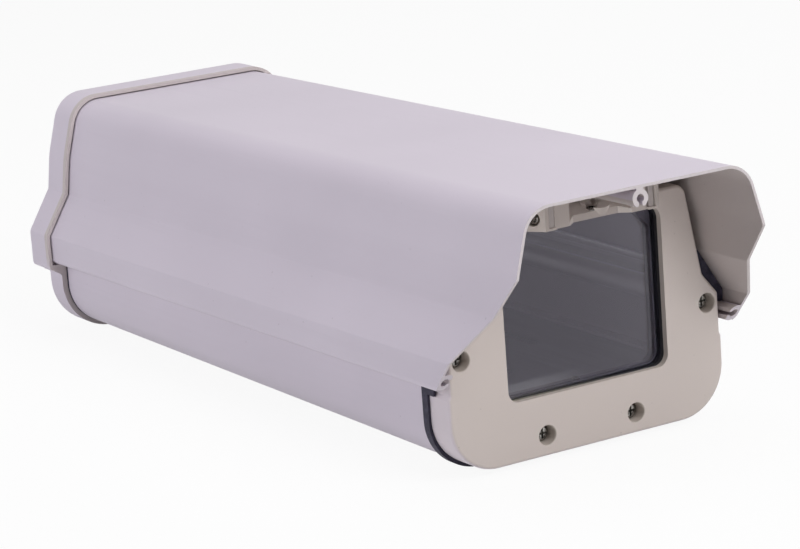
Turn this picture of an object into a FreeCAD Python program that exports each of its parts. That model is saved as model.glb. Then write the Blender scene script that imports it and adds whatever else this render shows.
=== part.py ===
"""Security camera housing: an extruded body closed by a glazed front bezel and a
cast rear cap, under a long extruded sunshield that stands out over the window.

Frame: X to the right, Y to the rear, Z up. The origin is the centre of the base
mounting holes, on the flat underside of the body. Sizes are in millimetres.
"""
import FreeCAD, Part
import math
import os

Vector = FreeCAD.Vector

# Body extrusion
body_length = 315.3
body_front_reach = 151.8
body_half_width = 66.7
body_corner_radius = 21.6
body_shoulder_z = 50.6
body_waist_inset = 7.3
body_waist_z = 59.6
body_top_inset = 14.5
body_top_z = 97.4
body_top_radius = 6.0
body_crease_radius = 3.0
body_wall = 2.5

# Screw channels of the body extrusion
channel_outer_radius = 5.0
channel_bore_radius = 2.1
side_channel_inset = 6.9
side_channel_z = 47.0
floor_channel_x = 21.7
floor_channel_lift = 2.8
top_channel_inset = 4.9
top_channel_drop = 6.2

# Mounting rail in the floor of the body
rail_half_width = 26.0
rail_thickness = 6.0
mount_spacing_x = 28.0
mount_spacing_y = 70.0
mount_hole_radius = 3.15

# Ribs on the inner walls of the body
rib_thickness = 1.6
guide_clearance = 0.3
upper_rib_z = 57.0
upper_rib_pitch = 4.0
upper_rib_reach = 2.0

# Front gasket
gasket_thickness = 4.0
gasket_lip = 0.8
gasket_lip_bottom = 1.5
gasket_lip_top_z = 35.5
gasket_tab_reach = 4.8
gasket_tab_height = 3.0
gasket_ear_reach = 9.5
gasket_ear_gap = 0.4
gasket_land = 8.5
gasket_land_margin = 1.0

# Front bezel
bezel_depth = 14.2
bezel_inset = 1.0
bezel_skirt_inset = 0.3
bezel_skirt_top_z = 32.1
bezel_step_height = 1.6
bezel_edge_radius = 1.4
bezel_top_rise = 0.6
window_half_width = 38.9
window_bottom_z = 25.1
window_top_z = 92.6
window_bottom_radius = 5.0
window_top_radius = 7.0
window_lip = 2.8
rebate_margin = 3.2

# Glass, its seal and its retaining frame
glass_thickness = 3.0
glass_cover = 1.6
glass_rear_seat = 1.0
seal_depth = 6.5
seal_inset = 0.3
seat_gap = 0.1
frame_depth = 4.5
frame_bar_inset = 0.4
frame_chamfer = 10.0
frame_screw_length = 6.0
frame_screw_head_radius = 1.9
frame_screw_sink = 1.0

# Screws
bezel_screw_head_radius = 3.7
bezel_screw_head_height = 3.0
bezel_screw_sink = 4.0
bezel_screw_radius = 2.0
screw_clearance = 0.2
head_clearance = 0.35
bezel_bore_rim = 0.3
screw_engagement = 14.0
small_screw_radius = 1.45
small_screw_head_radius = 2.5
small_screw_head_height = 1.9
recess_width = 0.9
recess_share = 0.58
pan_crown_share = 0.45

# Sunshield
shield_wall = 1.2
shield_waist_gap = 0.8
shield_waist_lift = 4.9
shield_side_gap = 5.1
shield_knee_drop = 4.6
shield_skirt = 13.4
shield_top_gap = 8.8
shield_top_inset = 1.6
shield_brow_reach = 1.5
shield_brow_lift = 21.6
shield_brow_radius = 45.0
shield_top_radius = 13.0
shield_waist_radius = 2.0
shield_knee_radius = 2.0
shield_hem_radius = 2.6
shield_overhang = 42.0
shield_cheek_z = 80.9
shield_cheek_radius = 1.0
shield_pitch = 0.785
shield_pivot_z = 50.0
shield_end_allowance = 8.0
shield_channel_radius = 3.6
shield_channel_bore = 1.7
shield_channel_inset = 2.9
shield_channel_lift = 4.2
shield_channel_slot = 1.7
shield_channel_reach = 2.6
shield_boss_radius = 3.65
shield_boss_drop = 4.1
shield_boss_stem = 3.4
shield_boss_lip_radius = 0.7

# Front support between the bezel and the sunshield
support_bottom_drop = 3.0
support_half_width = 38.0
support_reach = 14.5
support_bay_depth = 3.8
support_bay_half_width = 10.7
support_block_inner = 14.9
support_block_outer = 22.0
support_block_rise = 9.2
support_deck_rise = 2.8
support_deck_slope = 19.0
support_end_half_width = 27.1
support_end_reach = 15.9
support_wing_rise = 9.5
support_boss_radius = 6.2
support_boss_bore = 1.9
support_boss_height = 1.1
support_boss_hole_depth = 3.0
support_boss_x = 3.4
support_boss_setback = 5.6
pad_width = 2.4
pad_center_x = 23.7
pad_reach = 15.1
pad_gap = 0.6
pad_seat_depth = 11.2
pad_foot = 0.8
pad_top_gap = 0.3
side_screw_x = 30.0
side_screw_lift = 4.9
side_screw_length = 28.0
side_screw_sink = 2.0
centre_screw_setback = 8.1
centre_screw_floor = 2.2
centre_screw_head_radius = 2.3
centre_screw_length = 2.0
tongue_half_width = 6.0
tongue_thickness = 1.6
tongue_reach = 10.2
tower_half_width = 34.0
tower_height = 4.4
tower_depth = 10.0

# Rear cap
cap_depth = 19.5
cap_lip = 2.2
cap_side_lip = 2.6
cap_drop = 2.0
cap_step_drop = 3.4
cap_flange_depth = 12.5
cap_wall = 3.0
cap_edge_radius = 2.0
cap_recess_depth = 2.3
cap_recess_gap = 0.6
cap_boss_radius = 5.0
rear_gasket_thickness = 1.5
rear_gasket_land = 4.0

# Cable glands
gland_spacing = 44.0
gland_z = 34.0
gland_thread_radius = 8.0
gland_thread_clearance = 0.15
gland_thread_length = 9.0
gland_collar_across = 22.0
gland_collar_thickness = 5.0
gland_nut_across = 21.0
gland_nut_length = 12.0
gland_nut_taper = 4.0
gland_tail_radius = 7.2
gland_nut_gap = 0.4
gland_tail_length = 7.0
gland_bore_radius = 6.0
gland_entry_radius = 4.2
gland_seal_length = 6.0
locknut_across = 21.0
locknut_thickness = 4.0

# Camera tray
tray_thickness = 2.0
tray_z = 16.3
tray_edge_gap = 1.25
tray_grip = 3.0
tray_length = 200.0
tray_setback = 11.8
tray_lip_height = 14.0
tray_bend_radius = 3.0
slot_radius = 3.4
slot_length = 100.0
slot_setback = 30.0
side_slot_x = 34.0
side_slot_radius = 2.2
side_slot_length = 40.0
tray_hole_radius = 2.05

# Camera screw and tray lock screw
camera_screw_radius = 3.1
camera_screw_rise = 7.0
knob_radius = 7.5
knob_thickness = 4.6
knob_flutes = 8
knob_gap = 0.3
lock_screw_x = 10.0
lock_screw_setback = 14.0
lock_screw_radius = 1.95
lock_head_radius = 6.0
lock_head_thickness = 5.0
lock_tip_gap = 0.3

# Terminal board behind the tray
board_half_width = 30.0
board_length = 42.0
board_thickness = 1.6
board_end_gap = 8.0
board_corner_radius = 2.0
board_hole_inset = 5.0
standoff_x = 13.0
standoff_across = 6.0
standoff_height = 8.0
board_screw_radius = 1.4
board_screw_head_radius = 2.7
board_screw_head_height = 1.8
board_screw_depth = 5.0
terminal_pitch = 5.0
terminal_count = 8
terminal_depth = 9.0
terminal_height = 10.0
terminal_setback = 12.0
terminal_entry = 3.0
terminal_screw_radius = 1.5
terminal_screw_depth = 1.5
earth_screw_x = 10.0
earth_screw_gap = 10.0
earth_screw_radius = 2.0
earth_screw_length = 4.0
earth_head_radius = 3.8
earth_head_height = 2.4
earth_washer_radius = 5.0
earth_washer_thickness = 1.0

# Rounding of outlines: the share of an edge that its two corners may use, and when points are one
edge_share = 0.98
same_point = 1e-6

# Places along Y that follow from the sizes above
body_front_y = -body_front_reach
body_rear_y = body_front_y + body_length
bezel_rear_y = body_front_y - gasket_thickness
bezel_front_y = bezel_rear_y - bezel_depth
cap_front_y = body_rear_y + rear_gasket_thickness
cap_rear_y = cap_front_y + cap_depth
shield_rear_y = cap_front_y + cap_recess_depth - cap_recess_gap
shield_front_y = bezel_front_y - shield_overhang
seal_front_y = bezel_front_y + window_lip
frame_front_y = seal_front_y + seal_depth
glass_front_y = frame_front_y - glass_rear_seat - glass_thickness


def half_corner_angle(before, corner, after):
    """Half of the angle between the two edges that meet in a corner."""
    back = (before - corner).normalize()
    ahead = (after - corner).normalize()
    return math.acos(max(-1.0, min(1.0, back.dot(ahead)))) / 2


def corner_arc(before, corner, after, reach):
    """Start, middle and end of the arc that leaves both edges at a reach from the corner."""
    back = (before - corner).normalize()
    ahead = (after - corner).normalize()
    half_angle = half_corner_angle(before, corner, after)
    radius = reach * math.tan(half_angle)
    centre = corner + (back + ahead).normalize() * (radius / math.sin(half_angle))
    middle = centre + (corner - centre).normalize() * radius
    return corner + back * reach, middle, corner + ahead * reach


def corner_reaches(corners, radii):
    """How far each corner's arc runs along its edges, where both corners of an edge must fit."""
    count = len(corners)
    wanted = []
    for index in range(count):
        angle = half_corner_angle(corners[index - 1], corners[index], corners[(index + 1) % count])
        wanted.append(radii[index] / math.tan(angle) if radii[index] > 0 else 0.0)
    reaches = list(wanted)
    for index in range(count):
        following = (index + 1) % count
        room = edge_share * (corners[following] - corners[index]).Length
        needed = wanted[index] + wanted[following]
        if needed > room:
            reaches[index] = min(reaches[index], wanted[index] * room / needed)
            reaches[following] = min(reaches[following], wanted[following] * room / needed)
    return reaches


def rounded_face(points, place):
    """Face inside a closed outline of (u, v, corner radius), put in space by place."""
    corners = [place(u, v) for u, v, radius in points]
    reaches = corner_reaches(corners, [radius for u, v, radius in points])
    count = len(corners)
    edges = []
    arcs = []
    for index in range(count):
        corner = corners[index]
        if reaches[index] > 0:
            following = corners[(index + 1) % count]
            arcs.append(corner_arc(corners[index - 1], corner, following, reaches[index]))
        else:
            arcs.append((corner, None, corner))
    for index in range(count):
        start, middle, end = arcs[index]
        if middle is not None:
            edges.append(Part.Arc(start, middle, end).toShape())
        following = arcs[(index + 1) % count][0]
        if (following - end).Length > same_point:
            edges.append(Part.LineSegment(end, following).toShape())
    return Part.Face(Part.Wire(edges))


def across_prism(points, y_from, y_to):
    """Prism of an outline drawn in the XZ plane, from one Y to another."""
    face = rounded_face(points, lambda x, z: Vector(x, y_from, z))
    return face.extrude(Vector(0, y_to - y_from, 0))


def plan_prism(points, z_from, z_to):
    """Prism of an outline drawn in plan (XY), from one Z to another."""
    face = rounded_face(points, lambda x, y: Vector(x, y, z_from))
    return face.extrude(Vector(0, 0, z_to - z_from))


def side_prism(points, x_from, x_to):
    """Prism of an outline drawn in the side view (YZ), from one X to another."""
    face = rounded_face(points, lambda y, z: Vector(x_from, y, z))
    return face.extrude(Vector(x_to - x_from, 0, 0))


def mirrored(half):
    """Closed outline from its right half, listed from the bottom up."""
    return half + [(-x, z, radius) for x, z, radius in reversed(half)]


def grown(points, distance):
    """A closed outline, counter-clockwise, moved outwards by a distance."""
    moved = []
    count = len(points)
    for index in range(count):
        x0, z0 = points[index - 1][:2]
        x1, z1, radius = points[index]
        x2, z2 = points[(index + 1) % count][:2]
        first = Vector(x1 - x0, z1 - z0, 0).normalize()
        second = Vector(x2 - x1, z2 - z1, 0).normalize()
        normal = Vector(first.y, -first.x, 0) + Vector(second.y, -second.x, 0)
        normal.normalize()
        stretch = distance / (normal.x * first.y - normal.y * first.x)
        turn = first.x * second.y - first.y * second.x
        swell = distance if turn > 0 else -distance
        new_radius = max(radius + swell, 0.0) if radius > 0 else 0.0
        moved.append((x1 + normal.x * stretch, z1 + normal.y * stretch, new_radius))
    return moved


def cylinder(radius, base, axis, length):
    return Part.makeCylinder(radius, length, base, axis)


def box(x_from, x_to, y_from, y_to, z_from, z_to):
    size = (x_to - x_from, y_to - y_from, z_to - z_from)
    return Part.makeBox(size[0], size[1], size[2], Vector(x_from, y_from, z_from))


def hexagon_prism(across, base, axis, length):
    """Hexagonal prism of a width across its flats, along an axis."""
    radius = across / math.sqrt(3)
    turn = FreeCAD.Rotation(Vector(0, 0, 1), axis)
    corners = []
    for step in range(7):
        angle = math.radians(60 * step)
        corners.append(base + turn.multVec(Vector(radius * math.cos(angle), radius * math.sin(angle), 0)))
    return Part.Face(Part.makePolygon(corners)).extrude(axis * length)


def both_sides(shape):
    """A shape and its mirror image in the middle plane."""
    return [shape, shape.mirror(Vector(0, 0, 0), Vector(1, 0, 0))]


def fused(shapes):
    first = shapes[0]
    if len(shapes) == 1:
        return first
    return first.fuse(shapes[1:]).removeSplitter()


def body_outline():
    return mirrored([
        (body_half_width, 0.0, body_corner_radius),
        (body_half_width, body_shoulder_z, body_crease_radius),
        (body_half_width - body_waist_inset, body_waist_z, body_crease_radius),
        (body_half_width - body_top_inset, body_top_z, body_top_radius),
    ])


def shield_half_outline():
    """Outer corners of the sunshield's right half, from its hem up to its top."""
    knee_x = body_half_width + shield_side_gap + shield_wall
    knee_z = body_shoulder_z - shield_knee_drop
    waist_x = body_half_width - body_waist_inset + shield_waist_gap + shield_wall
    waist_z = body_waist_z + shield_waist_lift
    brow_x = body_half_width - body_waist_inset - shield_brow_reach + shield_wall
    brow_z = body_waist_z + shield_brow_lift
    top_x = body_half_width - body_top_inset - shield_top_inset + shield_wall
    top_z = body_top_z + shield_top_gap + shield_wall
    return [
        (knee_x, knee_z - shield_skirt, shield_hem_radius),
        (knee_x, knee_z, shield_knee_radius),
        (waist_x, waist_z, shield_waist_radius),
        (brow_x, brow_z, shield_brow_radius),
        (top_x, top_z, shield_top_radius),
    ]


def shield_lift(y):
    """How far the pitch raises the sunshield at a place along Y."""
    return (cap_front_y - y) * math.tan(math.radians(shield_pitch))


def shield_channel_places():
    """Centres of the two hem channels and of the middle boss of the sunshield."""
    hem_x, hem_z, hem_radius = shield_half_outline()[0]
    top_z = shield_half_outline()[-1][1]
    side_x = hem_x - shield_channel_inset
    side_z = hem_z + shield_channel_lift
    return [(side_x, side_z), (-side_x, side_z), (0.0, top_z - shield_wall - shield_boss_drop)]


def bezel_screw_places():
    side_x = body_half_width - side_channel_inset
    floor_z = rail_thickness + floor_channel_lift
    return [(side_x, side_channel_z), (-side_x, side_channel_z),
            (floor_channel_x, floor_z), (-floor_channel_x, floor_z)]


def cap_screw_places():
    top_x = body_half_width - body_top_inset - top_channel_inset
    top_z = body_top_z - top_channel_drop
    return bezel_screw_places() + [(top_x, top_z), (-top_x, top_z)]


def pan_screw(place, axis, shank_radius, shank_length, head_radius, head_height):
    """Pan head screw; place is where the underside of its head seats, axis points in."""
    crown_place = place - axis * head_height
    head = cylinder(head_radius, crown_place, axis, head_height)
    crown = [edge for edge in head.Edges if (edge.CenterOfMass - crown_place).Length < seat_gap]
    head = head.makeChamfer(head_height * pan_crown_share, crown)
    shank = cylinder(shank_radius, place, axis, shank_length)
    screw = head.fuse(shank).removeSplitter()
    turn = FreeCAD.Placement(crown_place, FreeCAD.Rotation(Vector(0, 0, 1), axis))
    length = 2 * head_radius * recess_share
    depth = head_height * recess_share
    for size_x, size_y in ((length, recess_width), (recess_width, length)):
        slot = Part.makeBox(size_x, size_y, depth)
        middle = FreeCAD.Placement(Vector(-size_x / 2, -size_y / 2, 0), FreeCAD.Rotation())
        slot.Placement = turn.multiply(middle)
        screw = screw.cut(slot)
    return screw


def body_extrusion():
    outline = body_outline()
    outer = across_prism(outline, body_front_y, body_rear_y)
    inner = across_prism(grown(outline, -body_wall), body_front_y, body_rear_y)
    inside = [box(-rail_half_width, rail_half_width, body_front_y, body_rear_y, 0, rail_thickness)]
    for x, z in cap_screw_places():
        base = Vector(x, body_front_y, z)
        inside.append(cylinder(channel_outer_radius, base, Vector(0, 1, 0), body_length))
    rib_z = [tray_z - guide_clearance - rib_thickness, tray_z + tray_thickness + guide_clearance]
    for z in rib_z:
        inner_x = tray_half_width() - tray_grip
        inside += both_sides(box(inner_x, body_half_width, body_front_y, body_rear_y, z, z + rib_thickness))
    for z in (upper_rib_z, upper_rib_z + upper_rib_pitch):
        inner_x = body_wall_x(z) - upper_rib_reach
        inside += both_sides(box(inner_x, body_half_width, body_front_y, body_rear_y, z, z + rib_thickness))
    body = outer.cut(inner)
    features = inside[0].fuse(inside[1:]).common(outer)
    body = body.fuse(features)
    for x, z in cap_screw_places():
        base = Vector(x, body_front_y, z)
        body = body.cut(cylinder(channel_bore_radius, base, Vector(0, 1, 0), body_length))
    for x in (-mount_spacing_x / 2, mount_spacing_x / 2):
        for y in (-mount_spacing_y / 2, mount_spacing_y / 2):
            body = body.cut(cylinder(mount_hole_radius, Vector(x, y, 0), Vector(0, 0, 1), rail_thickness))
    for x, y in standoff_places():
        depth = board_screw_depth
        base = Vector(x, y, rail_thickness - depth)
        body = body.cut(cylinder(board_screw_radius + seat_gap, base, Vector(0, 0, 1), depth))
    base = Vector(earth_screw_x, earth_screw_y(), rail_thickness - earth_screw_length)
    body = body.cut(cylinder(earth_screw_radius + seat_gap, base, Vector(0, 0, 1), earth_screw_length))
    return body.removeSplitter()


def tray_half_width():
    """Half width that the tray has between the body's rounded lower corners."""
    radius = body_corner_radius - body_wall
    drop = body_corner_radius - tray_z
    reach = math.sqrt(radius ** 2 - drop ** 2)
    return body_half_width - body_corner_radius + reach - tray_edge_gap


def body_wall_x(z):
    """Inner face of the body's side wall at a height between its shoulder and its waist."""
    share = (z - body_shoulder_z) / (body_waist_z - body_shoulder_z)
    return body_half_width - body_waist_inset * share - body_wall


def front_gasket():
    """Flat seal with a lip round its lower half, a tab each side and ears under the shield."""
    sheet = across_prism(body_outline(), bezel_rear_y, body_front_y)
    lip_x = body_half_width + gasket_lip
    lip_outline = mirrored([(lip_x, -gasket_lip_bottom, body_corner_radius + gasket_lip),
                            (lip_x, gasket_lip_top_z, 0)])
    lip = across_prism(lip_outline, bezel_rear_y, body_front_y)
    tab_inner = body_half_width - bezel_skirt_inset + seat_gap
    tab = box(tab_inner, lip_x, bezel_rear_y - gasket_tab_reach, bezel_rear_y,
              gasket_lip_top_z - gasket_tab_height, gasket_lip_top_z)
    sheet = fused([sheet, lip] + both_sides(tab) + both_sides(gasket_ear()))
    sheet = sheet.cut(gasket_opening(bezel_rear_y, body_front_y))
    return sheet.cut(screw_holes(bezel_screw_places(), bezel_screw_radius, bezel_rear_y, body_front_y))


def gasket_ear():
    """Ear of the right side that closes the space between the bezel and the sunshield."""
    front = bezel_rear_y - gasket_ear_reach
    lift = shield_lift(body_front_y)
    inner = grown(mirrored(shield_half_outline()), -shield_wall - gasket_ear_gap)
    raised = [(x, z + lift, radius) for x, z, radius in inner]
    ear = across_prism(raised, front, body_front_y)
    ear = ear.cut(across_prism(grown(bezel_outline(), seat_gap), front, body_front_y))
    channel_top = shield_channel_places()[0][1] + shield_channel_radius + lift
    waist_z = raised[2][1]
    return ear.common(box(0, 2 * body_half_width, front, body_front_y, channel_top + gasket_ear_gap, waist_z))


def gasket_opening(y_from, y_to):
    """Opening of the front gasket, a land's width inside the body's outline."""
    bottom = rail_thickness + floor_channel_lift + channel_outer_radius + gasket_land_margin
    side = body_half_width - side_channel_inset - channel_outer_radius - gasket_land_margin
    top = body_top_z - body_wall
    waist = body_half_width - body_top_inset - body_wall
    outline = mirrored([(side, bottom, window_bottom_radius), (side, body_shoulder_z, body_crease_radius),
                        (waist, body_waist_z + gasket_land, body_crease_radius),
                        (waist, top, window_top_radius)])
    return across_prism(outline, y_from, y_to)


def screw_holes(places, radius, y_from, y_to):
    """Clearance holes along Y at a set of screw places."""
    holes = []
    for x, z in places:
        base = Vector(x, y_from, z)
        holes.append(cylinder(radius + screw_clearance, base, Vector(0, 1, 0), y_to - y_from))
    return holes[0].fuse(holes[1:]) if len(holes) > 1 else holes[0]


def window_outline(margin):
    """Outline of the window opening, moved outwards by a margin."""
    outline = mirrored([(window_half_width, window_bottom_z, window_bottom_radius),
                        (window_half_width, window_top_z, window_top_radius)])
    return grown(outline, margin) if margin else outline


def bezel_outline():
    """Outline of the bezel: a skirt as wide as the body, a step, then a narrower upper part."""
    skirt_x, skirt_z, skirt_radius = grown(body_outline(), -bezel_skirt_inset)[0]
    shoulder, waist, top = grown(body_outline(), -bezel_inset)[1:4]
    step_z = bezel_skirt_top_z + bezel_step_height
    return mirrored([
        (skirt_x, skirt_z, skirt_radius),
        (skirt_x, bezel_skirt_top_z, 0),
        (shoulder[0], step_z, 0),
        shoulder,
        waist,
        (top[0], body_top_z + bezel_top_rise, top[2]),
    ])


def front_bezel():
    bezel = across_prism(bezel_outline(), bezel_front_y, bezel_rear_y)
    front_edges = [edge for edge in bezel.Edges
                   if edge.BoundBox.YMax < bezel_front_y + seat_gap]
    bezel = bezel.makeFillet(bezel_edge_radius, front_edges)
    bottom = support_bottom_z()
    tower = box(-tower_half_width, tower_half_width, bezel_front_y, bezel_front_y + tower_depth,
                bottom, body_top_z + bezel_top_rise + tower_height)
    tongue = box(-tongue_half_width, tongue_half_width, bezel_front_y - tongue_reach,
                 bezel_front_y + window_lip, bottom, bottom + tongue_thickness)
    bezel = bezel.fuse([tower, tongue])
    bezel = bezel.cut(across_prism(window_outline(0), bezel_front_y, bezel_rear_y))
    bezel = bezel.cut(across_prism(window_outline(rebate_margin), seal_front_y, bezel_rear_y))
    for x, z in bezel_screw_places():
        seat_y = bezel_front_y + bezel_screw_sink + bezel_screw_head_height
        base = Vector(x, bezel_front_y, z)
        radius = bezel_screw_head_radius + head_clearance
        bezel = bezel.cut(cylinder(radius, base, Vector(0, 1, 0), seat_y - bezel_front_y))
        rim = Part.makeCone(radius + bezel_bore_rim, radius, bezel_bore_rim, base, Vector(0, 1, 0))
        bezel = bezel.cut(rim)
    bezel = bezel.cut(screw_holes(bezel_screw_places(), bezel_screw_radius, bezel_front_y, bezel_rear_y))
    for z, direction in frame_screw_seats():
        base = Vector(0, frame_screw_y(), z)
        length = frame_screw_length + seat_gap
        bezel = bezel.cut(cylinder(small_screw_radius + seat_gap, base, direction, length))
    for place, axis in side_screw_seats():
        length = side_screw_length + seat_gap
        bezel = bezel.cut(cylinder(small_screw_radius + seat_gap, place, axis, length))
    seat = centre_screw_seat()
    bezel = bezel.cut(cylinder(small_screw_radius + seat_gap, seat, Vector(0, 0, -1), side_screw_length))
    return bezel


def window_glass():
    outline = window_outline(glass_cover)
    return across_prism(outline, glass_front_y, glass_front_y + glass_thickness)


def glass_seal():
    ring = across_prism(window_outline(rebate_margin - seat_gap), seal_front_y, frame_front_y)
    ring = ring.cut(across_prism(window_outline(seal_inset), seal_front_y, frame_front_y))
    groove = across_prism(window_outline(glass_cover + seat_gap), glass_front_y - seat_gap,
                          glass_front_y + glass_thickness + seat_gap)
    return ring.cut(groove)


def frame_screw_y():
    return frame_front_y + frame_depth / 2


def frame_screw_seats():
    """Height of the head seat and direction of the two screws of the glass frame."""
    bottom = window_bottom_z + frame_bar_inset - frame_screw_sink
    top = window_top_z - frame_bar_inset + frame_screw_sink
    return [(bottom, Vector(0, 0, -1)), (top, Vector(0, 0, 1))]


def glass_frame():
    ring = across_prism(window_outline(rebate_margin - seat_gap), frame_front_y, frame_front_y + frame_depth)
    half = window_half_width - frame_bar_inset
    bottom = window_bottom_z + frame_bar_inset
    top = window_top_z - frame_bar_inset
    opening = mirrored([(half, bottom, window_bottom_radius), (half, top - frame_chamfer, 0),
                        (half - frame_chamfer, top, 0)])
    ring = ring.cut(across_prism(opening, frame_front_y, frame_front_y + frame_depth))
    for z, direction in frame_screw_seats():
        base = Vector(0, frame_screw_y(), z)
        ring = ring.cut(cylinder(small_screw_radius + seat_gap, base, direction, frame_screw_length))
        ring = ring.cut(cylinder(frame_screw_head_radius + seat_gap, base, direction * -1,
                                 small_screw_head_height))
    return ring


def frame_screws():
    screws = []
    for z, direction in frame_screw_seats():
        base = Vector(0, frame_screw_y(), z)
        screws.append(pan_screw(base, direction, small_screw_radius, frame_screw_length,
                                frame_screw_head_radius, small_screw_head_height))
    return screws


def bezel_screws():
    screws = []
    seat_y = bezel_front_y + bezel_screw_sink + bezel_screw_head_height
    length = body_front_y + screw_engagement - seat_y
    for x, z in bezel_screw_places():
        screws.append(pan_screw(Vector(x, seat_y, z), Vector(0, 1, 0), bezel_screw_radius, length,
                                bezel_screw_head_radius, bezel_screw_head_height))
    return screws


def shield_profile():
    """Section of the sunshield: its skin, two hem channels and the middle boss."""
    outer = mirrored(shield_half_outline())
    length = shield_rear_y - shield_front_y + 2 * shield_end_allowance
    start = shield_front_y - shield_end_allowance
    solid = across_prism(outer, start, start + length)
    hem_z = shield_half_outline()[0][1]
    half = shield_half_outline()
    hollow_half = grown(mirrored(half), -shield_wall)[:len(half)]
    below = [(hollow_half[0][0], hem_z - shield_wall, 0)]
    hollow = across_prism(mirrored(below + hollow_half[1:]), start, start + length)
    skin = solid.cut(hollow)
    parts = []
    for x, z in shield_channel_places():
        side = (x > 0) - (x < 0)
        radius = shield_channel_radius if side else shield_boss_radius
        ring = cylinder(radius, Vector(x, start, z), Vector(0, 1, 0), length)
        if side:
            tip_x = x - side * shield_channel_reach
            x_from, x_to = sorted((tip_x, side * (half[1][0] + shield_wall)))
            arms = box(x_from, x_to, start, start + length, z - radius, z + radius)
            ring = ring.common(solid).common(arms)
        else:
            top_z = half[-1][1] - shield_wall / 2
            stem = box(-shield_boss_stem / 2, shield_boss_stem / 2, start, start + length, z, top_z)
            ring = ring.fuse(stem)
        parts.append(ring)
    profile = skin.fuse(parts)
    for x, z in shield_channel_places():
        side = (x > 0) - (x < 0)
        profile = profile.cut(cylinder(shield_channel_bore, Vector(x, start, z), Vector(0, 1, 0), length))
        gap = shield_channel_slot / 2
        reach = 2 * shield_channel_radius
        if side:
            x_from, x_to = sorted((x, x - side * reach))
            profile = profile.cut(box(x_from, x_to, start, start + length, z - gap, z + gap))
        else:
            profile = profile.cut(box(-gap, gap, start, start + length, z - reach, z))
            lips = [edge for edge in profile.Edges if edge.Length > length - seat_gap
                    and abs(edge.CenterOfMass.x) < gap + seat_gap
                    and edge.CenterOfMass.z < z - (shield_channel_bore + shield_boss_radius) / 2]
            profile = profile.makeFillet(shield_boss_lip_radius, lips)
    return profile.removeSplitter()


def shield_front_cut():
    """Side view of what is cut off the front of the sunshield: upright, then swept back."""
    half = shield_half_outline()
    hem_z = half[0][1]
    top_z = half[-1][1]
    far = shield_front_y - 2 * shield_end_allowance
    slope = (bezel_front_y - shield_front_y) / (shield_cheek_z - hem_z)
    low_z = hem_z - shield_end_allowance
    return [
        (far, low_z, 0),
        (bezel_front_y + slope * shield_end_allowance, low_z, 0),
        (shield_front_y, shield_cheek_z, shield_cheek_radius),
        (shield_front_y, top_z + shield_end_allowance, 0),
        (far, top_z + shield_end_allowance, 0),
    ]


def sunshield():
    half = shield_half_outline()
    reach = half[1][0] + shield_end_allowance
    shield = shield_profile().cut(side_prism(shield_front_cut(), -reach, reach))
    shield.rotate(Vector(0, cap_front_y, shield_pivot_z), Vector(1, 0, 0), -shield_pitch)
    top_z = half[-1][1] + shield_end_allowance
    rear = box(-reach, reach, shield_rear_y, shield_rear_y + 3 * shield_end_allowance, 0, top_z)
    return shield.cut(rear)


def shield_underside_z(y):
    """Height of the pitched sunshield's inner top face at a place along Y."""
    return shield_half_outline()[-1][1] - shield_wall + shield_lift(y)


def support_bottom_z():
    return body_top_z + bezel_top_rise - support_bottom_drop








def side_screw_seats():
    """Head seat and direction of the two screws through the support's end walls."""
    run = support_half_width - support_end_half_width
    wall = Vector(run, support_end_reach, 0).normalize()
    inward = Vector(-wall.y, wall.x, 0)
    share = (side_screw_x - support_end_half_width) / run
    y = bezel_front_y - support_end_reach * (1 - share)
    z = support_bottom_z() + side_screw_lift
    place = Vector(side_screw_x, y, z) + inward * side_screw_sink
    mirror = Vector(-place.x, place.y, place.z)
    return [(place, inward), (mirror, Vector(-inward.x, inward.y, 0))]


def support_outline():
    """Plan of the support, right half from its bay to its rear corner."""
    front = bezel_front_y - support_reach
    bay = front + support_bay_depth
    end = bezel_front_y - support_end_reach
    right = [
        (support_bay_half_width, bay, 0),
        (support_block_inner, front, 0),
        (support_block_outer, front, 0),
        (support_block_outer, end, 0),
        (support_end_half_width, end, 0),
        (support_half_width, bezel_front_y, 0),
    ]
    return [(-x, y, radius) for x, y, radius in reversed(right)] + right


def support_deck_z(y):
    """Height of the support's sloping deck at a place along Y."""
    front = bezel_front_y - support_reach + support_bay_depth
    slope = math.tan(math.radians(support_deck_slope))
    return support_bottom_z() + support_deck_rise + slope * (y - front)


def support_boss():
    """Drilled boss that stands square on the deck beside its screw, and its hole."""
    slope = math.radians(support_deck_slope)
    square = Vector(0, -math.sin(slope), math.cos(slope))
    y = bezel_front_y - support_boss_setback
    foot = Vector(support_boss_x, y, support_deck_z(y))
    root = foot - square * support_boss_hole_depth
    boss = cylinder(support_boss_radius, root, square, support_boss_hole_depth + support_boss_height)
    hole_base = foot + square * (support_boss_height - support_boss_hole_depth)
    hole = cylinder(support_boss_bore, hole_base, square, support_boss_hole_depth)
    return boss, hole


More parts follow.
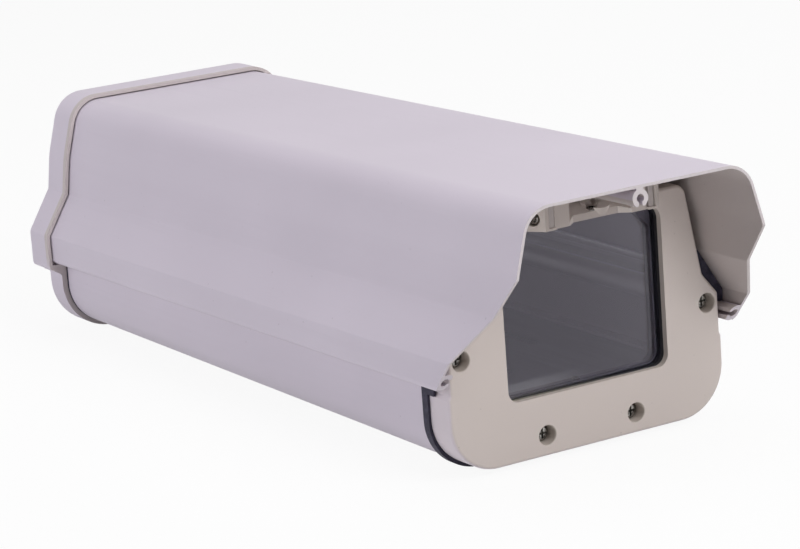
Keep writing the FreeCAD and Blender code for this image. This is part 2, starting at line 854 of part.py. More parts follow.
def shield_support():
    """Cast support: sloping deck in a bay, a block and a pad slot each side, oblique ends."""
    bottom = support_bottom_z()
    above = bottom + 2 * support_wing_rise
    base = plan_prism(support_outline(), bottom, bottom + support_wing_rise)
    front = bezel_front_y - support_reach - support_bay_depth
    deck = side_prism([(front, support_deck_z(front), 0), (bezel_front_y, support_deck_z(bezel_front_y), 0),
                       (bezel_front_y, above, 0), (front, above, 0)],
                      -support_block_inner, support_block_inner)
    base = base.cut(deck)
    block_top = box(support_block_inner, support_block_outer, front, bezel_front_y,
                    bottom + support_block_rise, above)
    slot = box(pad_center_x - pad_width / 2 - pad_gap, pad_center_x + pad_width / 2 + pad_gap,
               front - support_reach, bezel_front_y - pad_seat_depth, bottom + pad_foot, above)
    for shape in both_sides(block_top) + both_sides(slot):
        base = base.cut(shape)
    boss, hole = support_boss()
    bay = box(-support_block_inner, support_block_inner, front, bezel_front_y, bottom, above)
    support = base.fuse(boss.common(bay))
    support = support.cut(hole)
    for place, axis in side_screw_seats():
        support = support.cut(cylinder(small_screw_radius + seat_gap, place, axis, side_screw_length))
        support = support.cut(cylinder(small_screw_head_radius + head_clearance, place, axis * -1,
                                       side_screw_length))
    seat = centre_screw_seat()
    support = support.cut(cylinder(small_screw_radius + seat_gap, seat, Vector(0, 0, -1), side_screw_length))
    sink_radius = centre_screw_head_radius + seat_gap
    support = support.cut(cylinder(sink_radius, seat, Vector(0, 0, 1), support_wing_rise))
    pocket = box(-tongue_half_width - seat_gap, tongue_half_width + seat_gap,
                 bezel_front_y - tongue_reach - seat_gap, bezel_front_y, bottom,
                 bottom + tongue_thickness)
    return support.cut(pocket).removeSplitter()


def centre_screw_seat():
    y = bezel_front_y - centre_screw_setback
    return Vector(0, y, support_bottom_z() + centre_screw_floor)


def support_pads():
    """Upright strips in the support's slots that carry the front of the sunshield."""
    bottom = support_bottom_z() + pad_foot
    front = bezel_front_y - pad_reach
    rear = bezel_front_y - pad_seat_depth
    top_front = shield_underside_z(front) - pad_top_gap
    top_rear = shield_underside_z(rear) - pad_top_gap
    side = [(front, bottom, 0), (rear, bottom, 0), (rear, top_rear, 0), (front, top_front, 0)]
    inner = pad_center_x - pad_width / 2
    return both_sides(side_prism(side, inner, inner + pad_width))


def support_side_screws():
    screws = []
    for place, axis in side_screw_seats():
        screws.append(pan_screw(place, axis, small_screw_radius, side_screw_length,
                                small_screw_head_radius, small_screw_head_height))
    return screws


def support_centre_screw():
    return [pan_screw(centre_screw_seat(), Vector(0, 0, -1), small_screw_radius, centre_screw_length,
                      centre_screw_head_radius, small_screw_head_height)]


def cap_outline():
    """Outline of the rear cap: the body's round bottom, then the sunshield's own shape."""
    half = shield_half_outline()
    lipped = grown(mirrored(half), cap_lip)[:len(half)]
    side_x = body_half_width + cap_side_lip
    hem_x, hem_z, hem_radius = lipped[0]
    right = [(side_x, -cap_drop, body_corner_radius + cap_side_lip),
             (side_x, hem_z - cap_step_drop, cap_edge_radius)]
    return mirrored(right + [(hem_x, hem_z, cap_edge_radius)] + lipped[1:])


def cap_flange_shave():
    """What is cut off behind the flange so that the lower block is as wide as the body."""
    reach = body_half_width + 2 * cap_side_lip
    flange_y = cap_front_y + cap_flange_depth
    underside = grown(mirrored(shield_half_outline()), cap_lip)[0][1] - cap_step_drop
    around = box(-reach, reach, flange_y, cap_rear_y, -2 * cap_drop, underside)
    return around.cut(across_prism(body_outline(), flange_y, cap_rear_y))


def rear_cap():
    cap = across_prism(cap_outline(), cap_front_y, cap_rear_y).cut(cap_flange_shave())
    rear_edges = [edge for edge in cap.Edges if edge.BoundBox.YMin > cap_rear_y - seat_gap]
    cap = cap.makeFillet(cap_edge_radius, rear_edges)
    pocket_rear = cap_rear_y - cap_wall
    pocket = across_prism(grown(body_outline(), -body_wall), cap_front_y, pocket_rear)
    bosses = []
    for x, z in cap_screw_places():
        base = Vector(x, cap_front_y, z)
        bosses.append(cylinder(cap_boss_radius, base, Vector(0, 1, 0), cap_depth - cap_wall))
    cap = cap.cut(pocket.cut(bosses))
    recess_rear = cap_front_y + cap_recess_depth
    hem = shield_half_outline()[0]
    skin = mirrored([(hem[0], hem[1], 0)] + shield_half_outline()[1:])
    seat = across_prism(grown(skin, cap_recess_gap), cap_front_y, recess_rear)
    core = across_prism(shield_core_outline(), cap_front_y, recess_rear)
    cap = cap.cut(seat.cut(core))
    cap = cap.cut(screw_holes(cap_screw_places(), bezel_screw_radius, cap_front_y, cap_rear_y))
    cap = cap.cut(screw_holes(shield_channel_places(), small_screw_radius, cap_front_y, cap_rear_y))
    for place in gland_places():
        radius = gland_thread_radius + gland_thread_clearance
        cap = cap.cut(cylinder(radius, place - Vector(0, cap_wall, 0), Vector(0, 1, 0), cap_wall))
    return cap.removeSplitter()


def shield_core_outline():
    """Outline left standing in the cap's recess, inside the skin and the hem channels."""
    half = shield_half_outline()
    inner = grown(mirrored(half), -shield_wall - cap_recess_gap)[:len(half)]
    boss_bottom = shield_channel_places()[2][1] - shield_boss_radius
    return mirrored([(body_half_width, half[0][1] - cap_step_drop, 0), (body_half_width, half[1][1], 0)]
                    + inner[2:4] + [(inner[-1][0], boss_bottom - cap_recess_gap, 0)])


def rear_gasket():
    outline = body_outline()
    ring = across_prism(outline, body_rear_y, cap_front_y)
    hollow = across_prism(grown(outline, -rear_gasket_land), body_rear_y, cap_front_y)
    lugs = []
    for x, z in cap_screw_places():
        base = Vector(x, body_rear_y, z)
        lugs.append(cylinder(cap_boss_radius, base, Vector(0, 1, 0), rear_gasket_thickness))
    ring = ring.cut(hollow.cut(lugs))
    return ring.cut(screw_holes(cap_screw_places(), bezel_screw_radius, body_rear_y, cap_front_y))


def cap_screws():
    screws = []
    length = cap_depth + rear_gasket_thickness + screw_engagement
    for x, z in cap_screw_places():
        screws.append(pan_screw(Vector(x, cap_rear_y, z), Vector(0, -1, 0), bezel_screw_radius, length,
                                bezel_screw_head_radius, bezel_screw_head_height))
    return screws


def shield_screws():
    screws = []
    length = cap_depth + screw_engagement
    for x, z in shield_channel_places():
        screws.append(pan_screw(Vector(x, cap_rear_y, z), Vector(0, -1, 0), small_screw_radius, length,
                                small_screw_head_radius, small_screw_head_height))
    return screws


def gland_places():
    return [Vector(-gland_spacing / 2, cap_rear_y, gland_z), Vector(gland_spacing / 2, cap_rear_y, gland_z)]


def gland_bodies():
    """Threaded gland bodies: hexagonal collar outside the cap, thread in, tail behind."""
    rear = Vector(0, 1, 0)
    bodies = []
    for place in gland_places():
        body = hexagon_prism(gland_collar_across, place, rear, gland_collar_thickness)
        thread = cylinder(gland_thread_radius, place, rear * -1, gland_thread_length)
        tail_base = place + rear * gland_collar_thickness
        tail = cylinder(gland_tail_radius, tail_base, rear, gland_tail_length)
        body = body.fuse([thread, tail]).removeSplitter()
        length = gland_thread_length + gland_collar_thickness + gland_tail_length
        bodies.append(body.cut(cylinder(gland_bore_radius, place - rear * gland_thread_length, rear, length)))
    return bodies


def gland_seals():
    rear = Vector(0, 1, 0)
    seals = []
    for place in gland_places():
        end = place + rear * (gland_collar_thickness + gland_tail_length)
        base = end - rear * gland_seal_length
        seal = cylinder(gland_bore_radius - seat_gap, base, rear, gland_seal_length)
        seals.append(seal.cut(cylinder(gland_entry_radius, base, rear, gland_seal_length)))
    return seals


def gland_nuts():
    """Domed clamping nuts that close over the gland tails."""
    rear = Vector(0, 1, 0)
    nuts = []
    for place in gland_places():
        base = place + rear * (gland_collar_thickness + gland_nut_gap)
        nut = hexagon_prism(gland_nut_across, base, rear, gland_nut_length)
        end_radius = gland_nut_across / math.sqrt(3) - gland_nut_taper
        dome = Part.makeCone(end_radius + gland_nut_length, end_radius, gland_nut_length, base, rear)
        nut = nut.common(dome)
        nut = nut.cut(cylinder(gland_tail_radius + seat_gap, base, rear, gland_tail_length))
        nuts.append(nut.cut(cylinder(gland_entry_radius, base, rear, gland_nut_length)))
    return nuts


def gland_locknuts():
    nuts = []
    for place in gland_places():
        base = place - Vector(0, cap_wall + locknut_thickness, 0)
        nut = hexagon_prism(locknut_across, base, Vector(0, 1, 0), locknut_thickness)
        radius = gland_thread_radius + seat_gap
        nuts.append(nut.cut(cylinder(radius, base, Vector(0, 1, 0), locknut_thickness)))
    return nuts


def slot_cutter(x, y_middle, radius, length, z_from, z_to):
    """Round-ended slot along Y."""
    half = length / 2 - radius
    bar = box(x - radius, x + radius, y_middle - half, y_middle + half, z_from, z_to)
    ends = [cylinder(radius, Vector(x, y, z_from), Vector(0, 0, 1), z_to - z_from)
            for y in (y_middle - half, y_middle + half)]
    return bar.fuse(ends).removeSplitter()


def tray_front_y():
    return body_front_y + tray_setback


def slot_middle_y():
    return tray_front_y() + slot_setback + slot_length / 2


def lock_screw_place():
    return Vector(lock_screw_x, tray_front_y() + tray_length - lock_screw_setback, tray_z + tray_thickness)


def camera_tray():
    """Sliding plate for the camera, folded up at its rear end."""
    half_width = tray_half_width()
    rear_y = tray_front_y() + tray_length
    top_z = tray_z + tray_thickness
    profile = [
        (tray_front_y(), tray_z, 0),
        (rear_y, tray_z, tray_bend_radius + tray_thickness),
        (rear_y, tray_z + tray_lip_height, 0),
        (rear_y - tray_thickness, tray_z + tray_lip_height, 0),
        (rear_y - tray_thickness, top_z, tray_bend_radius),
        (tray_front_y(), top_z, 0),
    ]
    tray = side_prism(profile, -half_width, half_width)
    inner_x = half_width - tray_grip - guide_clearance
    bend_y = rear_y - tray_bend_radius - tray_thickness - guide_clearance
    corner = box(inner_x, half_width + tray_grip, bend_y, rear_y + tray_thickness,
                 tray_z - tray_thickness, tray_z + tray_lip_height)
    for shape in both_sides(corner):
        tray = tray.cut(shape)
    tray = tray.cut(slot_cutter(0, slot_middle_y(), slot_radius, slot_length, tray_z, top_z))
    for x in (-side_slot_x, side_slot_x):
        tray = tray.cut(slot_cutter(x, slot_middle_y(), side_slot_radius, side_slot_length, tray_z, top_z))
    base = lock_screw_place() - Vector(0, 0, tray_thickness)
    return tray.cut(cylinder(tray_hole_radius, base, Vector(0, 0, 1), tray_thickness))


def fluted_knob(base, axis, radius, thickness):
    """Round knob with shallow flutes around its rim."""
    knob = cylinder(radius, base, axis, thickness)
    flute_radius = radius * math.sin(math.pi / knob_flutes) / 2
    for step in range(knob_flutes):
        angle = 2 * math.pi * step / knob_flutes
        side = Vector(math.cos(angle), math.sin(angle), 0) * (radius + flute_radius / 2)
        knob = knob.cut(cylinder(flute_radius, base + side, axis, thickness))
    return knob


def camera_screw():
    """Knurled screw under the tray that clamps the camera through the slot."""
    top = Vector(0, slot_middle_y(), tray_z - knob_gap)
    knob = fluted_knob(top - Vector(0, 0, knob_thickness), Vector(0, 0, 1), knob_radius, knob_thickness)
    shank = cylinder(camera_screw_radius, top, Vector(0, 0, 1), knob_gap + tray_thickness + camera_screw_rise)
    return knob.fuse(shank).removeSplitter()


def tray_lock_screw():
    """Thumbscrew through the tray that bears on the rail in the body's floor."""
    place = lock_screw_place()
    under_head = place + Vector(0, 0, knob_gap)
    head = fluted_knob(under_head, Vector(0, 0, 1), lock_head_radius, lock_head_thickness)
    tip_z = rail_thickness + lock_tip_gap
    tip = Vector(place.x, place.y, tip_z)
    shank = cylinder(lock_screw_radius, tip, Vector(0, 0, 1), under_head.z - tip_z)
    return head.fuse(shank).removeSplitter()


def board_rear_y():
    return body_rear_y - board_end_gap


def standoff_places():
    x = standoff_x
    y_rear = board_rear_y() - board_hole_inset
    y_front = board_rear_y() - board_length + board_hole_inset
    return [(-x, y_front), (x, y_front), (-x, y_rear), (x, y_rear)]


def standoffs():
    pillars = []
    for x, y in standoff_places():
        base = Vector(x, y, rail_thickness)
        pillar = hexagon_prism(standoff_across, base, Vector(0, 0, 1), standoff_height)
        bore = cylinder(board_screw_radius + seat_gap, base, Vector(0, 0, 1), standoff_height)
        pillars.append(pillar.cut(bore))
    return pillars


def board_z():
    return rail_thickness + standoff_height


def terminal_board():
    rear_y = board_rear_y()
    front_y = rear_y - board_length
    corners = [(-board_half_width, front_y), (board_half_width, front_y),
               (board_half_width, rear_y), (-board_half_width, rear_y)]
    outline = [(x, y, board_corner_radius) for x, y in corners]
    board = plan_prism(outline, board_z(), board_z() + board_thickness)
    for x, y in standoff_places():
        base = Vector(x, y, board_z())
        board = board.cut(cylinder(board_screw_radius + seat_gap, base, Vector(0, 0, 1), board_thickness))
    return board


def board_screws():
    screws = []
    length = board_thickness + standoff_height + board_screw_depth - screw_clearance
    for x, y in standoff_places():
        place = Vector(x, y, board_z() + board_thickness)
        screws.append(pan_screw(place, Vector(0, 0, -1), board_screw_radius, length,
                                board_screw_head_radius, board_screw_head_height))
    return screws


def terminal_block():
    """Row of screw terminals with wire entries towards the rear cap."""
    half = terminal_pitch * terminal_count / 2
    rear_y = board_rear_y() - terminal_setback
    z = board_z() + board_thickness
    block = box(-half, half, rear_y - terminal_depth, rear_y, z, z + terminal_height)
    for index in range(terminal_count):
        x = -half + terminal_pitch * (index + 0.5)
        entry = box(x - terminal_entry / 2, x + terminal_entry / 2, rear_y - terminal_depth / 2, rear_y,
                    z + terminal_entry / 2, z + terminal_entry / 2 + terminal_entry)
        base = Vector(x, rear_y - terminal_depth / 2, z + terminal_height - terminal_screw_depth)
        well = cylinder(terminal_screw_radius, base, Vector(0, 0, 1), terminal_screw_depth)
        block = block.cut(entry.fuse(well))
    return block


def earth_screw_y():
    return board_rear_y() - board_length - earth_screw_gap


def earth_washer():
    base = Vector(earth_screw_x, earth_screw_y(), rail_thickness)
    washer = cylinder(earth_washer_radius, base, Vector(0, 0, 1), earth_washer_thickness)
    return washer.cut(cylinder(earth_screw_radius + seat_gap, base, Vector(0, 0, 1), earth_washer_thickness))


def earth_screw():
    place = Vector(earth_screw_x, earth_screw_y(), rail_thickness + earth_washer_thickness)
    length = earth_washer_thickness + earth_screw_length - screw_clearance
    return pan_screw(place, Vector(0, 0, -1), earth_screw_radius, length,
                     earth_head_radius, earth_head_height)


def save(name, shape):
    """Write one node: a single solid, or a group of separate solids."""
    if isinstance(shape, list):
        solids = [solid for item in shape for solid in item.Solids]
        shape = Part.makeCompound(solids)
    if len(shape.Solids) == 1:
        shape = shape.Solids[0]
    shape.exportStep(os.path.join("parts", name + ".step"))


def main():
    os.makedirs("parts", exist_ok=True)
    save("body_extrusion", body_extrusion())
    save("front_gasket", front_gasket())
    save("front_bezel", front_bezel())
    save("bezel_screws", bezel_screws())
    save("window_glass", window_glass())
    save("glass_seal", glass_seal())
    save("glass_frame", glass_frame())
    save("frame_screws", frame_screws())
    save("sunshield", sunshield())
    save("shield_support", shield_support())
    save("support_pads", support_pads())
    save("support_side_screws", support_side_screws())
    save("support_centre_screw", support_centre_screw())
    save("rear_cap", rear_cap())
    save("rear_gasket", rear_gasket())
    save("cap_screws", cap_screws())
    save("shield_screws", shield_screws())
    save("gland_bodies", gland_bodies())
    save("gland_seals", gland_seals())
    save("gland_nuts", gland_nuts())
    save("gland_locknuts", gland_locknuts())
    save("camera_tray", camera_tray())
    save("camera_screw", camera_screw())
    save("tray_lock_screw", tray_lock_screw())
    save("standoffs", standoffs())
    save("terminal_board", terminal_board())
    save("board_screws", board_screws())
    save("terminal_block", terminal_block())
    save("earth_washer", earth_washer())
    save("earth_screw", earth_screw())


main()
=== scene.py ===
"""Studio picture of a security camera housing: paints, rubber, glass and steel on
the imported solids, with soft white light and the photograph's point of view."""
import math

import bpy
from mathutils import Matrix, Vector


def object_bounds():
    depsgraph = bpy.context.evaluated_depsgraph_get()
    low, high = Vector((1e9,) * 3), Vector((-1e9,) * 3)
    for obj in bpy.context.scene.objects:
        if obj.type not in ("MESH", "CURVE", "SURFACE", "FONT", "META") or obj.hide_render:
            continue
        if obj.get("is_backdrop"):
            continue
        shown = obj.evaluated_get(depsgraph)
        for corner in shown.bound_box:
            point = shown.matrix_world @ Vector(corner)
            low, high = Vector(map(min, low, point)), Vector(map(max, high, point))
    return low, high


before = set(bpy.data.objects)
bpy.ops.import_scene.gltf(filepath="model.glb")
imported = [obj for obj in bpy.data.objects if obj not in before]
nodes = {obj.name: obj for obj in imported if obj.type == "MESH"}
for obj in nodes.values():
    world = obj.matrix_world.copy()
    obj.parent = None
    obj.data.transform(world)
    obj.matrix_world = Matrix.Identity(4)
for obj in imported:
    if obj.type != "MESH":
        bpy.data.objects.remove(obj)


def plain_box():
    low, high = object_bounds()
    return [list(low), list(high)]


sizes = {"cad_box": plain_box()}


# Places on the housing, in metres

middle_height = 0.045
bezel_corner_side = 0.0451
bezel_corner_height = 0.0216
bezel_corner_inside = 0.0197
bezel_corner_outside = 0.0202
cap_edge_start = 0.1674
cap_edge_end = 0.1680
cap_edge_bottom = 0.030
cap_edge_top = 0.036
wipe_slope = 0.43
wipe_middle_half_weight = (
    (0.0851, 0.0010, 0.95),
    (0.0822, 0.0020, 0.22),
    (0.0787, 0.0014, 0.40),
    (0.0770, 0.0012, 0.35),
    (0.0725, 0.0014, 0.40),
    (0.0708, 0.0010, 0.35),
)
# Where the glass gets a painted reflection, low on the left.
painted_reflection_full_height = 0.0302
painted_reflection_end_height = 0.0316
painted_reflection_full_side = -0.022
painted_reflection_end_side = 0.004


# Shader maths


class Wire:
    """A shader socket that adds up like a number."""

    def __init__(self, paint, socket):
        self.paint = paint
        self.socket = socket

    def math(self, operation, *values):
        return self.paint.add("ShaderNodeMath", {"operation": operation}, dict(enumerate(values)))

    def __add__(self, other):
        return self.math("ADD", self, other)

    def __radd__(self, other):
        return self.math("ADD", other, self)

    def __sub__(self, other):
        return self.math("SUBTRACT", self, other)

    def __rsub__(self, other):
        return self.math("SUBTRACT", other, self)

    def __mul__(self, other):
        return self.math("MULTIPLY", self, other)

    def __rmul__(self, other):
        return self.math("MULTIPLY", other, self)

    def __abs__(self):
        return self.math("ABSOLUTE", self)

    def at_least(self, low):
        return self.math("MAXIMUM", self, low)


class Paint:
    """The shader nodes of one material or of the world."""

    def __init__(self, owner):
        owner.use_nodes = True
        self.tree = owner.node_tree
        self.material = owner
        self.shader = self.tree.nodes.get("Principled BSDF")

    def add(self, kind, settings=None, inputs=None, output=0):
        """Adds a node: its settings first, then the values or links of its sockets."""
        node = self.tree.nodes.new(kind)
        for key, value in (settings or {}).items():
            setattr(node, key, value)
        for key, value in (inputs or {}).items():
            self.put(node.inputs[key], value)
        return Wire(self, node.outputs[output])

    def put(self, socket, value):
        if isinstance(value, Wire):
            self.tree.links.new(value.socket, socket)
        else:
            socket.default_value = value

    def surface(self, **values):
        """Sets sockets of the Principled shader, named with underscores for spaces."""
        for name, value in values.items():
            self.put(self.shader.inputs[name.replace("_", " ")], value)
        return self.material

    def finish(self, closure, kind):
        """Links a closure to the output of a material or of the world."""
        self.tree.links.new(closure.socket, self.tree.nodes[kind + " Output"].inputs["Surface"])

    def noise(self, scale, detail=3.0, roughness=0.5, place=None):
        inputs = {"Vector": place or self.place(), "Scale": scale, "Detail": detail, "Roughness": roughness}
        return self.add("ShaderNodeTexNoise", {}, inputs)

    def spread(self, value, low, high, to_low=0.0, to_high=1.0):
        """Maps a value from one range to another and stays within it."""
        inputs = {0: value, 1: low, 2: high, 3: to_low, 4: to_high}
        return self.add("ShaderNodeMapRange", {"clamp": True}, inputs)

    def blend(self, share, first, second):
        colour_inputs = {0: share, 6: first, 7: second}
        return self.add("ShaderNodeMix", {"data_type": "RGBA"}, colour_inputs, output=2)

    def bump(self, height, strength, distance):
        inputs = {"Height": height, "Strength": strength, "Distance": distance}
        return self.add("ShaderNodeBump", {}, inputs)

    def parts(self, vector):
        """The three parts of a vector, each as a wire."""
        first = self.add("ShaderNodeSeparateXYZ", {}, {0: vector}, output="X")
        outputs = first.socket.node.outputs
        return first, Wire(self, outputs["Y"]), Wire(self, outputs["Z"])

    def place(self):
        return self.add("ShaderNodeTexCoord", output="Object")

    def along_length(self, across):
        """Place stretched along the housing, for lines that run with it."""
        inputs = {"Vector": self.place(), "Scale": (across, 1.0, across)}
        return self.add("ShaderNodeMapping", {}, inputs)

    def facing(self):
        return self.parts(self.add("ShaderNodeTexCoord", output="Normal"))

    def towards_window(self):
        """How squarely a face looks the way the window does."""
        return 0.0 - self.facing()[1]

    def towards_middle(self):
        """Shows the inner faces of the hollow shapes, which look at the housing's own middle line, for
        painted shade.
        """
        across, _, upward = self.facing()
        side, _, height = self.parts(self.place())
        outward = across * side + upward * (height - middle_height)
        return self.spread(outward, -0.006, 0.0, 1.0, 0.0)

    def within_sides(self):
        """Shows what lies inside the bezel's outer faces: the window's reveal and the screw bores, for
        painted shade.
        """
        side, _, height = self.parts(self.place())
        across = (abs(side) - bezel_corner_side).at_least(0.0)
        down = (bezel_corner_height - height).at_least(0.0)
        distance_squared = across * across + down * down
        return self.spread(distance_squared, bezel_corner_inside ** 2, bezel_corner_outside ** 2, 1.0, 0.0)

    def at_cap_edge(self):
        """Shows a band along the front edge of the rear cap's flange, where painted shade stands in for a
        rounded edge.
        """
        _, along, height = self.parts(self.place())
        edge = self.spread(along, cap_edge_start, cap_edge_end, 1.0, 0.0)
        return edge * self.spread(height, cap_edge_bottom, cap_edge_top)

    def background_ray(self):
        """Is the background looked at: straight, in a reflection or through the glass."""
        path = self.add("ShaderNodeLightPath", output="Is Camera Ray")
        rays = path.socket.node.outputs
        return path + Wire(self, rays["Is Glossy Ray"]) + Wire(self, rays["Is Transmission Ray"])


def tone(red, green, blue):
    """Scene colour of a printed 8-bit colour."""
    channels = []
    for value in (red, green, blue):
        share = value / 255
        linear = share / 12.92 if share <= 0.04045 else ((share + 0.055) / 1.055) ** 2.4
        channels.append(linear)
    return (*channels, 1.0)


# Materials


def fresh(name):
    return Paint(bpy.data.materials.new(name))


def powder_coat(name, colour, shade, painted_front_colour, gloss, drawn=0.0, painted_shade_colour=None, inner=None):
    """Powder coat: orange peel, faint clouds, pinheads and die lines, with painted light and shade on faces
    toward the window and painted shade where a mask shows it.
    """
    paint = fresh(name)
    cloud = paint.noise(9.0, 2.0)
    peel = paint.noise(1500.0, 2.0, 0.6)
    pinheads = paint.spread(paint.noise(620.0, 1.0), 0.79, 0.81)
    die_lines = paint.noise(3.0, 3.0, 0.6, paint.along_length(110.0))
    # Painted light and shade: faces toward the window get a colour of their own, chosen by which way they
    # look.
    painted_front_share = paint.spread(paint.towards_window(), 0.6, 0.95)
    body = paint.blend(paint.spread(cloud, 0.35, 0.65), shade, colour)
    body = paint.blend(paint.spread(die_lines, 0.5, 0.72) * drawn, body, shade)
    # Painted shade where the mask shows it.
    if inner:
        body = paint.blend(inner(paint), body, painted_shade_colour)
    body = paint.blend(painted_front_share, body, painted_front_colour)
    body = paint.blend(pinheads * 0.3, body, pinhead_grey)
    rough = gloss + 0.08 * peel + 0.05 * cloud
    normal = paint.bump(peel + drawn * die_lines, 0.10, 0.00025)
    return paint.surface(Base_Color=body, Roughness=rough, Normal=normal)


def black_rubber():
    """Black rubber with a fine grain and a veil of dust."""
    paint = fresh("seal_rubber")
    dust = paint.noise(240.0, 4.0, 0.7)
    colour = paint.blend(paint.spread(dust, 0.45, 0.75), tone(44, 41, 56), tone(70, 66, 84))
    grain = paint.bump(paint.noise(1800.0, 2.0), 0.15, 0.0002)
    return paint.surface(Base_Color=colour, Roughness=0.58 + 0.12 * dust, Normal=grain,
                         Specular_IOR_Level=0.25)


def seal_with_dust_and_painted_light():
    """The seal of the glass, with pale dust and painted light where it faces up along the sill, fading out
    to the right.
    """
    paint = fresh("sill_rubber")
    grain = paint.noise(300.0, 4.0, 0.7)
    side = paint.parts(paint.place())[0]
    # Pale dust and painted light where the seal faces up, fading out towards the right.
    dust_and_painted_light_share = paint.spread(paint.facing()[2], -0.6, 0.9) * paint.spread(side, -0.035, 0.02, 0.95, 0.0)
    colour = paint.blend(grain, tone(26, 25, 30), tone(44, 42, 46))
    colour = paint.blend(dust_and_painted_light_share * (0.75 + 0.25 * grain), colour, tone(150, 145, 126))
    return paint.surface(Base_Color=colour, Roughness=0.5 + 0.2 * grain)


def clear_glass():
    """Float glass with wiping marks that slant down to the right, and painted reflection from a stronger
    coat low on the left and on the right.
    """
    paint = fresh("window_glass")
    smear = paint.noise(26.0, 4.0, 0.65)
    side, _, height = paint.parts(paint.place())
    slant = height + wipe_slope * side
    film = 0.0
    for middle, half, weight in wipe_middle_half_weight:
        film = film + paint.spread(abs(slant - middle), 0.0, half, weight, 0.0)
    along = paint.add("ShaderNodeCombineXYZ", {}, {"X": side * 0.1, "Z": slant})
    streaks = paint.spread(paint.noise(320.0, 3.0, 0.6, along), 0.42, 0.66)
    # Painted reflection: a stronger coat on the right and low on the left makes the glass paler there.
    right_painted_reflection = paint.spread(side, 0.0, 0.04, 0.0, 0.22)
    low_painted_reflection = paint.spread(height, painted_reflection_full_height, painted_reflection_end_height, 1.0, 0.0)
    left_painted_reflection = paint.spread(side, painted_reflection_full_side, painted_reflection_end_side, 0.85, 0.0)
    return paint.surface(Base_Color=(0.80, 0.80, 0.92, 1.0), IOR=1.54, Transmission_Weight=1.0,
                         Roughness=0.012 * smear, Specular_Tint=(0.95, 0.90, 1.0, 1.0),
                         Coat_Weight=film * (0.6 + 0.4 * streaks) + right_painted_reflection + low_painted_reflection * left_painted_reflection,
                         Coat_Roughness=0.03)


def turned_metal(name, colour, dark_colour):
    """Bare metal, brighter and duller by turns where the tool ran over it; a very dark duller colour also
    paints shade.
    """
    paint = fresh(name)
    tooling = paint.noise(900.0, 3.0, 0.6)
    colour_mix = paint.blend(paint.spread(tooling, 0.35, 0.7), dark_colour, colour)
    return paint.surface(Base_Color=colour_mix, Metallic=1.0, Roughness=0.12 + 0.14 * tooling)


def moulded(name, colour, rough):
    """Moulded plastic with a fine grain and faint clouds."""
    paint = fresh(name)
    grain = paint.noise(1400.0, 2.0)
    cloud = paint.noise(18.0, 2.0)
    dark = tuple(channel * 0.9 for channel in colour[:3]) + (1.0,)
    body = paint.blend(paint.spread(cloud, 0.35, 0.65), dark, colour)
    return paint.surface(Base_Color=body, Roughness=rough + 0.06 * grain,
                         Normal=paint.bump(grain, 0.08, 0.0002))


def sheet_metal():
    """Mill finish sheet with faint rolling lines along its length."""
    paint = fresh("tray_sheet")
    lines = paint.noise(20.0, 3.0, 0.6, paint.along_length(40.0))
    colour = paint.blend(lines, tone(150, 150, 153), tone(190, 190, 193))
    return paint.surface(Base_Color=colour, Metallic=1.0, Roughness=0.34 + 0.18 * lines)


shell_grey = tone(206, 197, 209)
shell_shade = tone(201, 192, 204)
# Painted shade: the inner faces of the hollow shapes are darker and warmer than the outside.
painted_inner_shade_grey = tone(195, 185, 183)
# Painted light: the shell's faces toward the window are warmer than its sides.
painted_front_grey = tone(208, 200, 202)
# Painted light: the cap's faces toward the window are warmer than its sides.
painted_rim_front_grey = tone(207, 197, 196)
# Painted shade: a darker band along the cap's front edge stands in for a shaded rounded edge.
painted_rim_edge_shade = tone(190, 180, 179)
# Painted light: the bezel's front faces are warmer, its sides paler and cooler.
painted_bezel_front_grey = tone(206, 195, 190)
side_grey = tone(213, 203, 209)
side_shade = tone(209, 199, 205)
# Painted shade: the window's reveal and the screw bores are darker and warmer.
painted_reveal_shade_grey = tone(202, 192, 184)
# Painted light: the support's ledges under the shield are painted far paler than its front faces.
painted_lit_ledge_grey = tone(246, 238, 232)
painted_lit_ledge_second_tone = tone(242, 234, 228)
# Painted shade on the support's front faces.
painted_support_front_grey = tone(191, 180, 175)
pinhead_grey = tone(112, 104, 104)

extruded = powder_coat("extrusion_coat", shell_grey, shell_shade, painted_front_grey, 0.44, 0.45,
                       painted_inner_shade_grey, Paint.towards_middle)
cap_coat = powder_coat("cap_coat", shell_grey, shell_shade, painted_rim_front_grey, 0.46, 0.0,
                       painted_rim_edge_shade, Paint.at_cap_edge)
bezel_coat = powder_coat("bezel_coat", side_grey, side_shade, painted_bezel_front_grey, 0.46, 0.0,
                         painted_reveal_shade_grey, Paint.within_sides)
under_visor = powder_coat("support_coat", painted_lit_ledge_grey, painted_lit_ledge_second_tone, painted_support_front_grey, 0.46)
rubber = black_rubber()
sill_rubber = seal_with_dust_and_painted_light()
glass = clear_glass()
# Painted shade: the screw steel is darkened, because the screws sit in shaded bores.
steel = turned_metal("screw_steel", tone(182, 179, 175), tone(84, 81, 78))
brass = turned_metal("turned_brass", tone(196, 162, 98), tone(140, 110, 60))
grey_moulding = moulded("grey_moulding", tone(118, 115, 119), 0.5)
pad_moulding = moulded("pad_moulding", tone(182, 173, 171), 0.6)
nylon = moulded("gland_nylon", tone(165, 164, 166), 0.45)
board_green = moulded("board_laminate", tone(38, 84, 52), 0.35)
terminal_green = moulded("terminal_plastic", tone(52, 92, 64), 0.4)
sheet = sheet_metal()

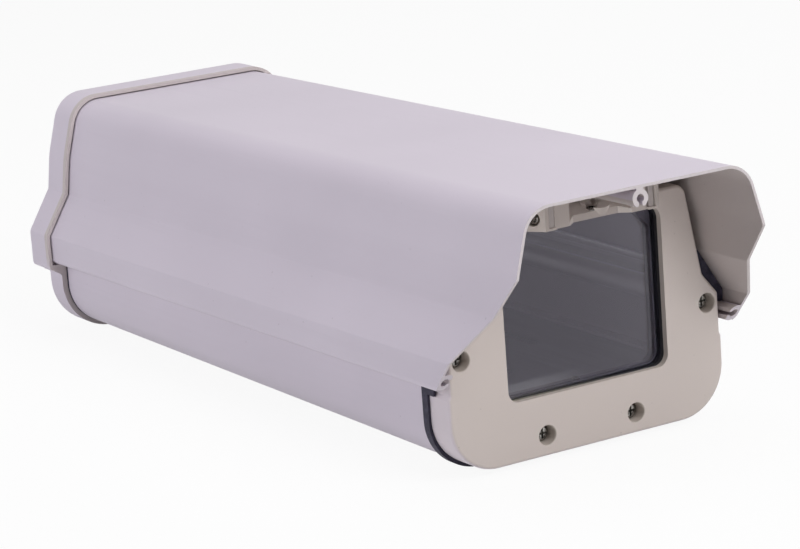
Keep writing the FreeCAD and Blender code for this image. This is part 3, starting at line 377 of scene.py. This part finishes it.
finishes = {
    "body_extrusion": extruded, "sunshield": extruded, "rear_cap": cap_coat,
    "front_bezel": bezel_coat, "shield_support": under_visor, "support_pads": pad_moulding,
    "glass_frame": grey_moulding, "window_glass": glass,
    "glass_seal": sill_rubber, "front_gasket": rubber, "rear_gasket": rubber, "gland_seals": rubber,
    "bezel_screws": steel, "frame_screws": steel, "support_side_screws": steel,
    "support_centre_screw": steel, "cap_screws": steel, "shield_screws": steel,
    "board_screws": steel, "earth_screw": steel, "earth_washer": steel,
    "gland_bodies": nylon, "gland_nuts": nylon, "gland_locknuts": nylon,
    "camera_tray": sheet, "camera_screw": brass, "tray_lock_screw": brass, "standoffs": brass,
    "terminal_board": board_green, "terminal_block": terminal_green,
}
for name, finish in finishes.items():
    mesh = nodes[name].data
    mesh.materials.clear()
    mesh.materials.append(finish)


# Floor, light and camera

floor_gap = 0.0005
floor_half = 6.0
floor_white_share = 0.92
housing_middle = (0.0, 0.0, 0.05)
housing_front = (0.0, -0.15, 0.05)


def studio_floor(height):
    """Pale floor just under the housing: near white to look at, with a soft shadow left in it."""
    mesh = bpy.data.meshes.new("studio_floor")
    corners = [(-floor_half, -floor_half, 0), (floor_half, -floor_half, 0),
               (floor_half, floor_half, 0), (-floor_half, floor_half, 0)]
    mesh.from_pydata(corners, [], [(0, 1, 2, 3)])
    floor = bpy.data.objects.new("studio_floor", mesh)
    bpy.context.scene.collection.objects.link(floor)
    floor.location.z = height
    paint = fresh("floor_white")
    paint.surface(Base_Color=(0.84, 0.84, 0.84, 1.0), Roughness=0.9)
    white = paint.add("ShaderNodeEmission", {}, {"Color": (1.0, 1.0, 1.0, 1.0), "Strength": 1.0})
    plain = Wire(paint, paint.shader.outputs[0])
    share = floor_white_share * paint.background_ray()
    paint.finish(paint.add("ShaderNodeMixShader", {}, {0: share, 1: plain, 2: white}), "Material")
    mesh.materials.append(paint.material)
    floor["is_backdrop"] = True


def studio_world():
    """White to look at, and only a little light on the housing itself."""
    world = bpy.data.worlds.new("studio_world")
    paint = Paint(world)
    pale = (1.0, 1.0, 1.0, 1.0)
    lit = paint.add("ShaderNodeBackground", {}, {"Color": pale, "Strength": 0.08})
    white = paint.add("ShaderNodeBackground", {}, {"Color": pale, "Strength": 1.0})
    mix = paint.add("ShaderNodeMixShader", {}, {0: paint.background_ray(), 1: lit, 2: white})
    paint.finish(mix, "World")
    bpy.context.scene.world = world


def soft_box(name, place, aim, width, height, power, colour=(1.0, 1.0, 1.0)):
    light = bpy.data.lights.new(name, "AREA")
    light.shape = "RECTANGLE"
    light.size = width
    light.size_y = height
    light.energy = power
    light.color = colour
    lamp = bpy.data.objects.new(name, light)
    lamp.location = place
    lamp.rotation_euler = (Vector(aim) - Vector(place)).to_track_quat("-Z", "Y").to_euler()
    bpy.context.scene.collection.objects.link(lamp)


def photograph_camera():
    """Camera of the photograph: its bearing, height and roll were solved from straight edges."""
    bearing = math.radians(-31.1)
    height = math.radians(13.73)
    roll = math.radians(-4.28)
    place = Vector((-0.6853, -1.1663, 0.3708))
    level = math.cos(height)
    back = Vector((math.sin(bearing) * level, -math.cos(bearing) * level, math.sin(height)))
    right = Vector((math.cos(bearing), math.sin(bearing), 0.0))
    up = back.cross(right)
    rolled_right = math.cos(roll) * right + math.sin(roll) * up
    rolled_up = -math.sin(roll) * right + math.cos(roll) * up
    turn = Matrix((rolled_right, rolled_up, back)).transposed().to_4x4()
    data = bpy.data.cameras.new("photograph_camera")
    data.sensor_width = 36.0
    data.lens = 141.88
    data.clip_start = 0.05
    camera = bpy.data.objects.new("photograph_camera", data)
    camera.matrix_world = Matrix.Translation(place) @ turn
    bpy.context.scene.collection.objects.link(camera)
    bpy.context.scene.camera = camera


studio_floor(sizes["cad_box"][0][2] - floor_gap)
studio_world()
soft_box("overhead_box", (0.2, -0.1, 1.6), (0.0, -0.05, 0.05), 1.6, 1.6, 12.3)
soft_box("front_box", (0.3, -1.4, 1.2), housing_front, 1.0, 1.0, 17.5)
soft_box("left_box", (-1.5, 0.45, 0.6), housing_middle, 1.2, 1.0, 10.8, (0.95, 0.95, 1.0))
soft_box("right_box", (1.6, 0.6, 0.5), (0.0, 0.05, 0.05), 1.0, 0.8, 3.0)
photograph_camera()
bpy.context.scene.view_settings.view_transform = "Standard"

sizes["scene_box"] = plain_box()
